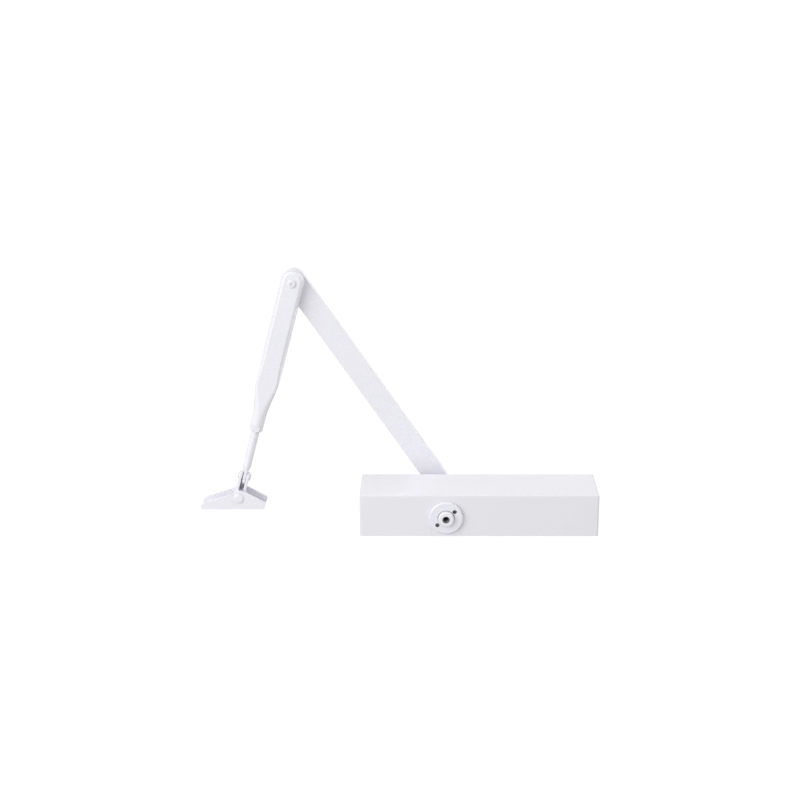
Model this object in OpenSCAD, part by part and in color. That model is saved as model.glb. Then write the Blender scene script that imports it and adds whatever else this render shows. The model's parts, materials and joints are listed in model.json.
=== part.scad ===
// Overhead door closer: surface-mounted rack-and-pinion body with a slip-on
// cover, a flat main arm, an adjustable forearm and a pivoting shoe.
// +Z runs up the pinion shaft, the cover's long front faces -Y, and the back
// face that lies on the door is the plane y = 0.

/* [Cover] */
// Length of the cover
cover_l = 240; // [238:0.5:246]
// Height of the body casting at the shaft, top face to bottom face
body_h = 60; // [60:0.5:64]
// How far the cover stands off the door
cover_d = 44.3; // [44.2:0.1:48]
// Wall thickness of the cover
cover_t = 1.8; // [1.4:0.1:2]
// Corner radius along the cover's front edges
cover_r = 2.4; // [0.8:0.1:2.6]

/* [Pinion shaft] */
// Shaft axis, measured from the middle of the body
shaft_x = -33.3; // [-34:0.1:-32]
// Shaft axis, measured from the back face
shaft_back = 20.6; // [20.5:0.1:21]
// Radius of the shaft journals
shaft_r = 8; // [8:0.01:8.02]
// How far the lower shaft end stands out of the body
shaft_out = 7.5; // [5:0.5:9]
// Radius of the bearing cap flange
cap_r = 17; // [16.5:0.1:18]
// Thickness of the bearing cap flange
cap_t = 3.5; // [3.2:0.1:4]
// Pitch circle of the two pin-spanner holes
spanner_pcd = 22.4; // [22:0.1:23]
// Radius of a pin-spanner hole
spanner_r = 2.1; // [1.8:0.1:2.2]
// Angle of the pin-spanner holes
spanner_a = -39.7; // [-60:0.1:60]
// Teeth on the pinion
teeth = 12; // [12:1:12]
// Gear module of pinion and rack
gear_m = 1.5; // [1.5:0.01:1.5]

/* [Main arm] */
// Shaft axis to elbow axis
arm_l = 273.5; // [240:0.5:280]
// Direction of the main arm at rest
arm_a = -124.2; // [-130:0.1:-118]
// Width of the flat bar
arm_w = 23.2; // [22:0.1:26]
// Thickness of the flat bar
arm_t = 8; // [7:0.5:9]
// Height of the bar's lower face above the middle of the body
arm_z = 42; // [41.9:0.1:44]

/* [Forearm] */
// Elbow axis to shoe pivot axis
fore_l = 237.4; // [237:0.1:245]
// Direction of the forearm at rest
fore_a = 105.2; // [103:0.1:108]
// Width of the forearm channel
fore_w = 24.2; // [23:0.1:25]
// Length of the full-width stretch, from the elbow axis
fore_full = 108.7; // [100:0.5:110]
// Where the shoulder has narrowed to the round neck
fore_neck = 141; // [138:0.5:142]
// Outer radius of the neck
neck_r = 7.05; // [6.8:0.05:7.2]
// Height of the rod axis
rod_z = 36.2; // [36.1:0.1:36.3]
// Radius of the adjusting rod
rod_r = 4.3; // [4.3:0.01:4.32]
// Cross pin axis to shoe pivot axis
knuckle_l = 22.4; // [22:0.1:24]

/* [Shoe] */
// Distance of the shoe's base plane from the body's back plane
shoe_y = -5.6; // [-6:0.1:-5]
// Overall width of the shoe across its two walls
shoe_w = 19.8; // [19.8:0.1:21]
// Sheet thickness of the shoe
shoe_t = 2; // [1.8:0.1:2]
// Length of the shoe's base
shoe_l = 66.4; // [66:0.1:68]
// Hole spacing in the shoe's base
shoe_holes = 50; // [49:0.5:51]
// Radius of a screw hole in the shoe
shoe_hole_r = 2.6; // [2.2:0.1:2.8]

/* [Fixings] */
// Spacing of the body's fixing holes along its length
fix_x = 222; // [221:0.5:223]
// Spacing of the body's fixing holes across its height
fix_z = 19; // [18:0.5:20]
// Radius of a fixing hole
fix_r = 3; // [2.5:0.1:3.2]

/* [Hidden] */
$fn = 64;

sx = shaft_x;
sy = -shaft_back;
body_l = cover_l - 2 * cover_t - 1;     // casting length inside the cover
barrel = 104;                           // half length of the oil barrel
bore_r = 16;                            // oil bore
rp = gear_m * teeth / 2;                // pinion pitch radius
pitch = PI * gear_m;
lug_r = 14.9;                           // casting lug filling the cover slot
ex = sx + arm_l * cos(arm_a);           // elbow axis
ey = sy + arm_l * sin(arm_a);
px = ex + fore_l * cos(fore_a);         // shoe pivot axis
py = ey + fore_l * sin(fore_a);
cpin = fore_l - knuckle_l;              // cross pin along the forearm
web_z = rod_z - 6.2;                    // forearm lower face
rim_z = arm_z - 0.7;                    // forearm rim
web_t = 1.8;
shoe_zc = rod_z;
win_lo = -67.8;                         // piston window, at rest
win_hi = -16.0;

module at_shaft() { translate([sx, sy, 0]) children(); }
module on_arm() { translate([sx, sy, 0]) rotate([0, 0, arm_a]) children(); }
module on_fore() { translate([ex, ey, 0]) rotate([0, 0, fore_a]) children(); }
module on_knuckle() { on_fore() translate([cpin, 0, 0]) children(); }
module at_pivot() { translate([px, py, 0]) children(); }
// a cylinder along +X from x0 to x1
module xcyl(x0, x1, r) { translate([x0, 0, 0]) rotate([0, 90, 0]) cylinder(r = r, h = x1 - x0); }
// a cylinder along +Y, centred
module ycyl(l, r) { rotate([90, 0, 0]) cylinder(r = r, h = l, center = true); }
module ztube(z0, z1, ro, ri) {
  translate([0, 0, z0]) difference() {
    cylinder(r = ro, h = z1 - z0);
    translate([0, 0, -1]) cylinder(r = ri, h = z1 - z0 + 2);
  }
}
module xtube(x0, x1, ro, ri) {
  difference() { xcyl(x0, x1, ro); xcyl(x0 - 1, x1 + 1, ri); }
}
// torus about X
module xring(x, rc, rw) {
  translate([x, 0, 0]) rotate([0, 90, 0]) rotate_extrude() translate([rc, 0]) circle(r = rw, $fn = 24);
}
// rounded rectangle, as a plain union
module rrect(w, h, r) {
  square([w - 2 * r, h], center = true);
  square([w, h - 2 * r], center = true);
  for (i = [-1, 1], j = [-1, 1]) translate([i * (w / 2 - r), j * (h / 2 - r)]) circle(r = r, $fn = 48);
}

// ---------------------------------------------------------------- cover
module cover_slot(r, h) {
  at_shaft() {
    translate([0, 0, -h]) cylinder(r = r, h = 2 * h);
    translate([-r, 0, -h]) cube([2 * r, shaft_back + 2, 2 * h]);
  }
}
module cover() {
  h = body_h - 0.2;
  color("white") difference() {
    // front corners rounded in plan and in section
    intersection() {
      translate([0, -cover_d / 2 + 5, 0]) rotate([90, 0, 0]) linear_extrude(height = cover_d + 10, center = true)
        rrect(cover_l, h, cover_r);
      translate([0, 0, -50]) linear_extrude(height = 100) union() {
        translate([-cover_l / 2, -cover_d + cover_r]) square([cover_l, cover_d - cover_r]);
        translate([-cover_l / 2 + cover_r, -cover_d]) square([cover_l - 2 * cover_r, cover_r + 1]);
        for (i = [-1, 1]) translate([i * (cover_l / 2 - cover_r), -cover_d + cover_r]) circle(r = cover_r, $fn = 48);
      }
      translate([-150, 0, 0]) rotate([0, 90, 0]) rotate([0, 0, 90]) linear_extrude(height = 300) union() {
        translate([-cover_d + cover_r, -h / 2]) square([cover_d - cover_r, h]);
        translate([-cover_d, -h / 2 + cover_r]) square([cover_r + 1, h - 2 * cover_r]);
        for (j = [-1, 1]) translate([-cover_d + cover_r, j * (h / 2 - cover_r)]) circle(r = cover_r, $fn = 48);
      }
    }
    translate([-cover_l / 2 + cover_t, -cover_d + cover_t, -h / 2 + cover_t])
      cube([cover_l - 2 * cover_t, cover_d, h - 2 * cover_t]);
    cover_slot(lug_r + 0.1, 40);
  }
}
module clip_side() {
  // spring clip that grips the inside of the cover's end wall
  x1 = cover_l / 2 - cover_t - 0.1;
  translate([x1 - 12.5, -6.2, -26]) cube([12.5, 1, 9]);
  translate([x1 - 1, -26, -26]) cube([1, 20.5, 9]);
  translate([x1 - 3.6, -26, -26]) cube([3.6, 1, 9]);
}
module cover_clips() {
  color("silver") difference() {
    union() { clip_side(); mirror([1, 0, 0]) clip_side(); }
    for (i = [-1, 1]) translate([i * 111, -5.7, -21.5]) ycyl(4, 1.7);
  }
}
module clip_screws() {
  color("silver") for (i = [-1, 1]) translate([i * 111, 0, -21.5]) {
    difference() {
      translate([0, -6.95, 0]) ycyl(1.5, 2.9);
      translate([0, -7.6, 0]) cube([5, 0.8, 0.7], center = true);
    }
    translate([0, -4.6, 0]) ycyl(3.4, 1.25);
  }
}

// -------------------------------------------------------------- housing
module valve_bore(x0, dir, z) {
  // stepped needle-valve bore with its gallery
  translate([0, sy - 15, z]) {
    if (dir > 0) { xcyl(x0 - 1, x0 + 14, 2.6); xcyl(x0 - 1, x0 + 78, 1.1); }
    else { xcyl(x0 - 14, x0 + 1, 2.6); xcyl(x0 - 30, x0 + 1, 1.1); }
  }
}
module gallery_drill(x, z) {
  // cross drilling from the front face through the gallery to the oil bore
  translate([x, sy - 15, z]) rotate([90, 0, 0]) {
    translate([0, 0, -9]) cylinder(r = 1, h = 20);
    translate([0, 0, 3.5]) cylinder(r = 2, h = 6);
  }
}
module housing() {
  hz = body_h / 2 - cover_t - 0.5;
  color("gainsboro") difference() {
    union() {
      // oil barrel
      translate([-barrel, sy, 0]) rotate([90, 0, 90]) linear_extrude(height = 2 * barrel)
        union() { rrect(2 * shaft_back, 41, 6); translate([0, -20.5]) square([shaft_back, 41]); }
      // mounting flange along the back
      translate([-body_l / 2, -5, -hz]) cube([body_l, 5, 2 * hz]);
      // pinion boss, and the lugs that fill the cover's slots
      at_shaft() {
        translate([0, 0, -hz]) cylinder(r = 18.5, h = 2 * hz);
        translate([-18.5, 0, -hz]) cube([37, shaft_back, 2 * hz]);
        translate([0, 0, -body_h / 2]) cylinder(r = lug_r, h = body_h);
        translate([-lug_r, 0, -body_h / 2]) cube([2 * lug_r, shaft_back, body_h]);
      }
      // stiffening ribs
      for (x = [-86, 30, 86]) translate([x - 2, -30, -hz]) cube([4, 30, 2 * hz]);
    }
    // oil bore and plug threads
    translate([0, sy, 0]) {
      xcyl(-barrel - 1, barrel + 1, bore_r);
      xcyl(-barrel - 1, -barrel + 13, bore_r + 1);
      xcyl(barrel - 15, barrel + 1, bore_r + 1);
    }
    // shaft bore, bearing seats and cap threads
    at_shaft() {
      translate([0, 0, -25]) cylinder(r = 11.2, h = 50);
      for (s = [0, 1]) mirror([0, 0, s]) {
        translate([0, 0, 16.4]) cylinder(r = 12.5, h = 20);
        translate([0, 0, 24.2]) cylinder(r = 13, h = 20);
      }
    }
    // fixing holes
    for (i = [-1, 1], j = [-1, 1]) translate([i * fix_x / 2, -3, j * fix_z / 2]) ycyl(12, fix_r);
    for (i = [-1, 1]) translate([i * 111, -3, -21.5]) ycyl(12, 1.25);
    // valves and galleries
    for (z = [-14.5, 14.5]) { valve_bore(-barrel, 1, z); gallery_drill(-86, z); gallery_drill(-28, z); }
    valve_bore(barrel, -1, -14.5);
    gallery_drill(78, -14.5);
  }
}
module gallery_plugs() {
  color("silver") for (p = [[-86, -14.5], [-28, -14.5], [-86, 14.5], [-28, 14.5], [78, -14.5]])
    translate([p[0], sy - 19.2, p[1]]) ycyl(1.2, 2);
}
module end_plug_left() {
  color("silver") translate([0, sy, 0]) difference() {
    union() { xcyl(-barrel, -barrel + 13, bore_r + 0.98); }
    translate([-barrel - 0.01, 0, 0]) rotate([0, 90, 0]) cylinder(r = 5.8, h = 6, $fn = 6);
    xring(-barrel + 9.5, bore_r + 1, 1);
  }
}
module end_plug_right() {
  color("silver") translate([0, sy, 0]) difference() {
    xcyl(barrel - 15, barrel, bore_r + 0.98);
    xcyl(barrel - 20, barrel + 1, 4.05);
    xcyl(barrel - 9, barrel + 1, 5.6);
    xring(barrel - 11, bore_r + 1, 1);
  }
}
module end_plug_seals() {
  color("black") translate([0, sy, 0]) { xring(-barrel + 9.5, bore_r + 0.5, 0.45); xring(barrel - 11, bore_r + 0.5, 0.45); }
}

// ------------------------------------------------------ bearings and caps
module bearing_cap(s) {
  z0 = body_h / 2;
  at_shaft() mirror([0, 0, s]) difference() {
    union() {
      translate([0, 0, z0]) cylinder(r = cap_r, h = cap_t - 0.9);
      // chamfered rim
      translate([0, 0, z0 + cap_t - 0.9]) cylinder(r1 = cap_r, r2 = cap_r - 0.9, h = 0.9);
      translate([0, 0, 24.4]) cylinder(r = 12.95, h = z0 - 24.3);
    }
    translate([0, 0, 20]) cylinder(r = shaft_r + 0.08, h = 20);
    translate([0, 0, 26]) cylinder(r = 11.2, h = 3.4);
    translate([0, 0, z0 + cap_t - 1.4]) cylinder(r = shaft_r + 0.55, h = 3);
    for (a = [0, 180]) rotate([0, 0, spanner_a + a]) translate([spanner_pcd / 2, 0, z0 + cap_t - 2.9])
      cylinder(r = spanner_r, h = 4);
  }
}
module bearing_cap_lower() { color("white") bearing_cap(1); }
module bearing_cap_upper() { color("white") bearing_cap(0); }
module bearing_cap_gaskets() {
  // flat rings between the cap's thread and the bearing cup
  color("black") at_shaft() for (s = [0, 1]) mirror([0, 0, s]) ztube(23.9, 24.35, 12.4, 11.1);
}
module shaft_seals() {
  color("black") at_shaft() for (s = [0, 1]) mirror([0, 0, s]) difference() {
    ztube(26.05, 29.3, 11.15, shaft_r + 0.06);
    translate([0, 0, 26]) ztube(0, 2.2, 10.2, 8.9);
  }
}
module bearing_cups() {
  color("silver") at_shaft() for (s = [0, 1]) mirror([0, 0, s]) difference() {
    ztube(16.5, 23.8, 12.45, 11);
    translate([0, 0, 10]) cylinder(r = 10.6, h = 20);
  }
}
module needle_cages() {
  color("silver") at_shaft() for (s = [0, 1]) mirror([0, 0, s]) {
    for (i = [0 : 13]) rotate([0, 0, i * 360 / 14]) translate([9.5, 0, 17]) cylinder(r = 1.44, h = 6.4, $fn = 24);
    ztube(16.6, 17.4, 10.5, 8.4);
    ztube(23.0, 23.7, 10.5, 8.4);
  }
}

// ------------------------------------------------------- pinion and shaft
function inv(rb, t) = [rb * (cos(t) + t * PI / 180 * sin(t)), rb * (sin(t) - t * PI / 180 * cos(t))];
function rot2(p, a) = [p[0] * cos(a) - p[1] * sin(a), p[0] * sin(a) + p[1] * cos(a)];
rb = rp * cos(20);
pin_ra = rp + 1.25;
pin_rf = rp - 1.95;
t_max = sqrt(pow(pin_ra / rb, 2) - 1) * 180 / PI;
half_tooth = 90 / teeth - 0.55;         // half tooth angle at the pitch circle, with backlash
inv20 = (tan(20) - 20 * PI / 180) * 180 / PI;
function flank(i, n) = rot2(inv(rb, t_max * i / n), -(half_tooth + inv20));
function tooth(a) = concat(
  [rot2([pin_rf, 0], a - half_tooth - inv20 - 0.5)],
  [for (i = [0 : 5]) rot2(flank(i, 5), a)],
  [for (i = [5 : -1 : 0]) rot2([flank(i, 5)[0], -flank(i, 5)[1]], a)],
  [rot2([pin_rf, 0], a + half_tooth + inv20 + 0.5)]);
pinion_pts = [for (k = [0 : teeth - 1]) each tooth(90 + k * 360 / teeth)];
module pinion_shaft() {
  zb = -body_h / 2 - shaft_out;
  color("white") at_shaft() difference() {
    union() {
      translate([0, 0, -11]) linear_extrude(height = 22) polygon(pinion_pts);
      translate([0, 0, zb + 1.2]) cylinder(r = shaft_r, h = -zb - 1.2 + 37);
      translate([0, 0, zb]) cylinder(r1 = shaft_r - 1.2, r2 = shaft_r, h = 1.2);
      rotate([0, 0, arm_a]) translate([-5.5, -5.5, 36]) cube([11, 11, arm_z + arm_t - 36.5]);
    }
    // tapped holes in both ends
    translate([0, 0, zb - 1]) cylinder(r = 3.4, h = -zb - 17);
    translate([0, 0, zb - 0.01]) cylinder(r1 = 3.9, r2 = 3.4, h = 0.5);
    translate([0, 0, arm_z + arm_t - 19]) cylinder(r = 3.4, h = 22);
  }
}

// --------------------------------------------------------------- main arm
module main_arm() {
  eo = 1.2;   // the bar's centreline passes this far beside the elbow axis
  color("white") on_arm() difference() {
    union() {
      rotate([0, 0, atan(eo / arm_l)]) {
        translate([0, -arm_w / 2, arm_z]) cube([sqrt(arm_l * arm_l + eo * eo), arm_w, arm_t]);
        translate([sqrt(arm_l * arm_l + eo * eo), 0, arm_z]) cylinder(r = arm_w / 2, h = arm_t);
      }
      translate([0, 0, arm_z]) cylinder(r = 14, h = arm_t);
      translate([0, 0, arm_z - 4.4]) cylinder(r = 13, h = 5);
    }
    translate([-5.55, -5.55, arm_z - 10]) cube([11.1, 11.1, 30]);
    translate([arm_l, 0, arm_z - 1]) cylinder(r = 6, h = arm_t + 2);
  }
}
module arm_washer() { color("silver") at_shaft() ztube(arm_z + arm_t, arm_z + arm_t + 2, 10.5, 4.3); }
module arm_screw() {
  z0 = arm_z + arm_t + 2;
  color("silver") at_shaft() difference() {
    union() {
      translate([0, 0, z0]) cylinder(r = 6.5, h = 7.4);
      translate([0, 0, z0 + 7.4]) cylinder(r1 = 6.5, r2 = 5.9, h = 0.6);
      translate([0, 0, z0 - 16]) cylinder(r = 3.35, h = 17);
    }
    translate([0, 0, z0 + 3.5]) cylinder(r = 3.46, h = 6, $fn = 6);
  }
}
module elbow_bush() {
  color("silver") translate([ex, ey, 0]) difference() {
    union() {
      translate([0, 0, arm_z + arm_t]) cylinder(r = 8, h = 0.8);
      translate([0, 0, arm_z + arm_t + 0.8]) cylinder(r1 = 8, r2 = 6.6, h = 0.8);
      translate([0, 0, arm_z]) cylinder(r = 5.98, h = arm_t + 0.1);
      translate([0, 0, web_z + web_t + 0.1]) cylinder(r = 6.4, h = arm_z - web_z - web_t - 0.1);
      translate([0, 0, web_z]) cylinder(r = 3.4, h = 4);
    }
    translate([0, 0, web_z - 1]) cylinder(r = 2.1, h = 16);
  }
}
module elbow_screw() {
  // pan head with a cross recess, seen from below
  color("white") translate([ex, ey, 0]) difference() {
    union() {
      translate([0, 0, web_z - 0.75]) cylinder(r = 4.25, h = 0.7);
      translate([0, 0, web_z - 1.9]) cylinder(r1 = 3.1, r2 = 4.25, h = 1.15);
      translate([0, 0, web_z - 0.5]) cylinder(r = 2.05, h = 14);
    }
    for (a = [0, 90]) rotate([0, 0, a + 20]) translate([-2, -0.4, web_z - 2.5]) cube([4, 0.8, 1.6]);
  }
}

// ---------------------------------------------------- piston and spring
module piston() {
  // hollow piston with the rack on the back side of its window
  color("silver") difference() {
    union() {
      translate([0, sy, 0]) difference() {
        xcyl(-82, 0, bore_r - 0.05);
        translate([win_lo, -11.2, -20]) cube([win_hi - win_lo, 21.9, 40]);
      }
      // rack teeth
      for (k = [-7 : 2]) translate([sx + (k + 0.5) * pitch, sy, -9.4]) linear_extrude(height = 18.8)
        polygon([[-1.62, 10.9], [-1.18 - 0.9 * tan(20) + 0.33, 9], [-0.72, 8.05], [0.72, 8.05], [1.18 + 0.9 * tan(20) - 0.33, 9], [1.62, 10.9]]);
    }
    translate([0, sy, 0]) {
      xcyl(-83, -74, 3);
      xcyl(-83, win_lo + 1, 1.8);
      // spring seat recess
      xtube(-3, 1, 14.8, 10.2);
    }
  }
}
module check_valve_retainer() { color("gold") translate([0, sy, 0]) xtube(-82, -80.5, 2.98, 1.5); }
module check_valve_ball() { color("silver") translate([-75.85, sy, 0]) rotate([0, 90, 0]) sphere(r = 2.5, $fn = 48); }

spring_turns = 8.5;
spring_x0 = -2.9;
spring_x1 = 77.9;
spring_seg = 18;
spring_sides = 6;
module main_spring() {
  n = round(spring_turns * spring_seg);
  wr = 1.9; cr = 12.5;
  // closed ends: the first and last turns pack close together
  function lead(u) = let (e = 1 / spring_turns) u < e ? u * 0.42 : u > 1 - e ? 1 - (1 - u) * 0.42
    : 0.42 * e + (u - e) * (1 - 0.84 * e) / (1 - 2 * e);
  pts = [for (i = [0 : n]) let (a = i * 360 / spring_seg, x = spring_x0 + wr + (spring_x1 - spring_x0 - 2 * wr) * lead(i / n))
    for (j = [0 : spring_sides - 1]) let (b = j * 360 / spring_sides, r = cr + wr * cos(b))
      [x + wr * sin(b), r * cos(a), r * sin(a)]];
  sides = [for (i = [0 : n - 1], j = [0 : spring_sides - 1]) let (a = i * spring_sides + j, b = i * spring_sides + (j + 1) % spring_sides)
    [a, b, b + spring_sides, a + spring_sides]];
  caps = [[for (j = [spring_sides - 1 : -1 : 0]) j], [for (j = [0 : spring_sides - 1]) n * spring_sides + j]];
  color("dimgray") translate([0, sy, 0]) polyhedron(points = pts, faces = concat(sides, caps), convexity = 10);
}
module spring_plate() {
  color("silver") translate([0, sy, 0]) { xtube(78, 81.5, 15.4, 4.02); xtube(75.5, 78.5, 10.1, 4.02); }
}
module adjusting_screw() {
  color("silver") translate([0, sy, 0]) difference() {
    union() {
      xcyl(62, barrel - 0.5, 3.97);
      xcyl(barrel - 18.9, barrel - 15.1, 6.8);
      xcyl(barrel - 5, barrel - 0.5, 5.5);
    }
    translate([barrel - 5.5, 0, 0]) rotate([0, 90, 0]) cylinder(r = 2.88, h = 8, $fn = 6);
  }
}
module adjusting_screw_seal() { color("black") translate([0, sy, 0]) xtube(barrel - 8.9, barrel - 6.9, 5.55, 4.02); }
module needle_valve(x0, dir, z) {
  translate([x0, sy - 15, z]) mirror([dir > 0 ? 0 : 1, 0, 0]) difference() {
    union() {
      xcyl(-0.4, 3, 2.55);
      xcyl(2.5, 6.5, 1.7);
      xcyl(6, 11.6, 2.55);
      translate([11.6, 0, 0]) rotate([0, 90, 0]) cylinder(r1 = 2.5, r2 = 0.5, h = 2.3);
    }
    translate([-0.5, 0, 0]) cube([2.2, 6, 0.8], center = true);
  }
}
module closing_valve() { color("gold") needle_valve(-barrel, 1, 14.5); }
module latching_valve() { color("gold") needle_valve(-barrel, 1, -14.5); }
module backcheck_valve() { color("gold") needle_valve(barrel, -1, -14.5); }
module valve_seals() {
  color("black") {
    for (z = [-14.5, 14.5]) translate([0, sy - 15, z]) xtube(-barrel + 3.3, -barrel + 5.7, 2.56, 1.75);
    translate([0, sy - 15, -14.5]) xtube(barrel - 5.7, barrel - 3.3, 2.56, 1.75);
  }
}

// ---------------------------------------------------------------- forearm
function fore_outline(w, x0, x1, x2, rn) = [[x0, w / 2], [x1, w / 2], [x2, rn], [x2, -rn], [x1, -w / 2], [x0, -w / 2]];
module fore_body(w, rn, x1, x2, z0, z1) {
  translate([0, 0, z0]) {
    cylinder(r = w / 2, h = z1 - z0);
    linear_extrude(height = z1 - z0) polygon(fore_outline(w, 0, x1, x2, rn));
  }
}
module forearm() {
  bev = 2.6;
  color("white") on_fore() difference() {
    union() {
      difference() {
        union() {
          fore_body(fore_w, neck_r, fore_full, fore_neck, web_z + bev, rim_z);
          // bevelled lower face
          translate([0, 0, web_z]) cylinder(r1 = fore_w / 2 - bev, r2 = fore_w / 2, h = bev);
          translate([0, 0, web_z]) rotate([90, 0, 90]) linear_extrude(height = fore_full)
            polygon([[-fore_w / 2, bev], [-fore_w / 2 + bev, 0], [fore_w / 2 - bev, 0], [fore_w / 2, bev]]);
          hull() {
            translate([fore_full - 0.5, -fore_w / 2, web_z + bev]) cube([0.5, fore_w, 0.5]);
            translate([fore_full - 0.5, -fore_w / 2 + bev, web_z]) cube([0.5, fore_w - 2 * bev, 0.5]);
            translate([fore_neck - 0.5, -neck_r, web_z + bev]) cube([0.5, 2 * neck_r, 0.5]);
            translate([fore_neck - 0.5, -neck_r + bev, web_z]) cube([0.5, 2 * neck_r - 2 * bev, 0.5]);
          }
        }
        // hollow of the channel, open towards the main arm
        fore_body(fore_w - 4.4, 4.9, fore_full - 1, fore_neck - 6, web_z + web_t, rim_z + 5);
      }
      translate([0, 0, rod_z]) xcyl(fore_neck - 7, 156, neck_r);
    }
    translate([0, 0, rod_z]) xcyl(fore_neck - 10, 157, 5.5);
    translate([0, 0, web_z - 1]) cylinder(r = 3.46, h = 5);
  }
}
module elbow_washer() { color("gainsboro") translate([ex, ey, 0]) ztube(rim_z, arm_z - 0.1, 11.4, 6.6); }
module neck_insert() { color("gold") on_fore() translate([0, 0, rod_z]) xtube(fore_neck - 3, 156, 5.48, rod_r + 0.06); }
module lock_nut() {
  color("white") on_fore() translate([0, 0, rod_z]) difference() {
    intersection() {
      translate([156, 0, 0]) rotate([0, 90, 0]) rotate([0, 0, 30]) cylinder(r = 6.95, h = 6.5, $fn = 6);
      translate([156, 0, 0]) rotate([0, 90, 0]) { cylinder(r1 = 7.3, r2 = 7.3, h = 5.2); translate([0, 0, 5.2]) cylinder(r1 = 7.3, r2 = 5.8, h = 1.3); }
    }
    xcyl(150, 170, rod_r + 0.06);
  }
}
module adjusting_rod() {
  color("white") on_fore() translate([0, 0, rod_z]) difference() {
    union() {
      xcyl(114, cpin - 11, rod_r);
      // shoulder down to the blade
      intersection() {
        translate([cpin - 11, 0, 0]) rotate([0, 90, 0]) cylinder(r1 = rod_r, r2 = 2.6, h = 5);
        translate([cpin - 12, -5, -5]) cube([8, 10, 10]);
      }
      translate([cpin - 9, -2, -4.2]) cube([9, 3.1, 8.4]);
      translate([cpin, -0.45, 0]) ycyl(3.1, 4.8);
      translate([cpin, -2, -4.3]) cube([4.2, 3.1, 8.6]);
      translate([cpin + 4.2, -0.45, 0]) ycyl(3.1, 4.3);
    }
    translate([cpin, 0, 0]) ycyl(20, 2.56);
  }
}

// -------------------------------------------------------- knuckle and shoe
module knuckle() {
  color("white") on_knuckle() translate([0, 0, rod_z]) difference() {
    union() {
      for (s = [0, 1]) mirror([0, s, 0]) {
        translate([0, 3.75, 0]) ycyl(3.0, 5.4);
        translate([0, 2.25, -5.4]) cube([knuckle_l - 3, 3.0, 11]);
      }
      // web that closes the fork on the far side
      translate([-2, -5.25, 5.3]) cube([knuckle_l - 1, 10.5, 1.8]);
      translate([knuckle_l, 0, -7.1]) cylinder(r = 7.2, h = 14.2);
    }
    ycyl(30, 2.45);
    translate([knuckle_l, 0, -10]) cylinder(r = 3.06, h = 20);
  }
}
module cross_pin() {
  color("white") on_knuckle() translate([0, 0, rod_z]) {
    ycyl(10.6, 2.44);
    for (s = [0, 1]) mirror([0, s, 0]) {
      translate([0, 5.65, 0]) ycyl(0.8, 3.7);
      translate([0, 6.04, 0]) rotate([-90, 0, 0]) cylinder(r1 = 3.7, r2 = 2.4, h = 0.75);
    }
  }
}
// outline of a shoe wall, seen along the pivot pin
module wall_outline() {
  x0 = px - 40.1; y0 = shoe_y;
  polygon([[x0, y0], [x0, y0 - 4], [x0 + 1.3, y0 - 5.6], [x0 + 5.4, y0 - 7.6], [px + 1.2, y0 - 20.4], [px + 5.6, y0 - 19.9], [px + 28.2, y0 - 7.1], [x0 + shoe_l, y0]]);
}
module shoe_bracket() {
  hw = shoe_w / 2;
  color("white") difference() {
    union() {
      for (z = [shoe_zc - hw, shoe_zc + hw - shoe_t]) translate([0, 0, z]) linear_extrude(height = shoe_t) wall_outline();
      translate([px - 40.1, shoe_y - shoe_t, shoe_zc - hw]) cube([shoe_l, shoe_t, shoe_w]);
    }
    for (i = [-1, 1]) translate([px - 6.9 + i * shoe_holes / 2, shoe_y, shoe_zc]) ycyl(12, shoe_hole_r);
    translate([px, py, shoe_zc - 20]) cylinder(r = 3.02, h = 40);
  }
}
module pivot_pin() {
  hw = shoe_w / 2;
  color("white") at_pivot() translate([0, 0, shoe_zc]) {
    translate([0, 0, -hw - 0.1]) cylinder(r = 3, h = 2 * hw + 0.2);
    for (s = [0, 1]) mirror([0, 0, s]) {
      translate([0, 0, hw]) cylinder(r = 5.4, h = 0.6);
      translate([0, 0, hw + 0.6]) cylinder(r1 = 5.4, r2 = 3.2, h = 1);
    }
  }
}
module pivot_washers() {
  hw = shoe_w / 2 - shoe_t;
  color("gainsboro") at_pivot() translate([0, 0, shoe_zc]) for (s = [0, 1]) mirror([0, 0, s]) ztube(7.2, hw, 6.6, 3.06);
}

cover();
cover_clips();
clip_screws();
housing();
end_plug_left();
end_plug_right();
end_plug_seals();
bearing_cap_lower();
bearing_cap_upper();
bearing_cap_gaskets();
shaft_seals();
bearing_cups();
needle_cages();
pinion_shaft();
main_arm();
arm_washer();
arm_screw();
elbow_bush();
elbow_screw();
piston();
check_valve_retainer();
check_valve_ball();
main_spring();
spring_plate();
adjusting_screw();
adjusting_screw_seal();
closing_valve();
latching_valve();
backcheck_valve();
valve_seals();
gallery_plugs();
forearm();
elbow_washer();
neck_insert();
lock_nut();
adjusting_rod();
knuckle();
cross_pin();
shoe_bracket();
pivot_pin();
pivot_washers();
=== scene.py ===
import json
import math

import bmesh
import bpy
from mathutils import Matrix, Vector

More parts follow.
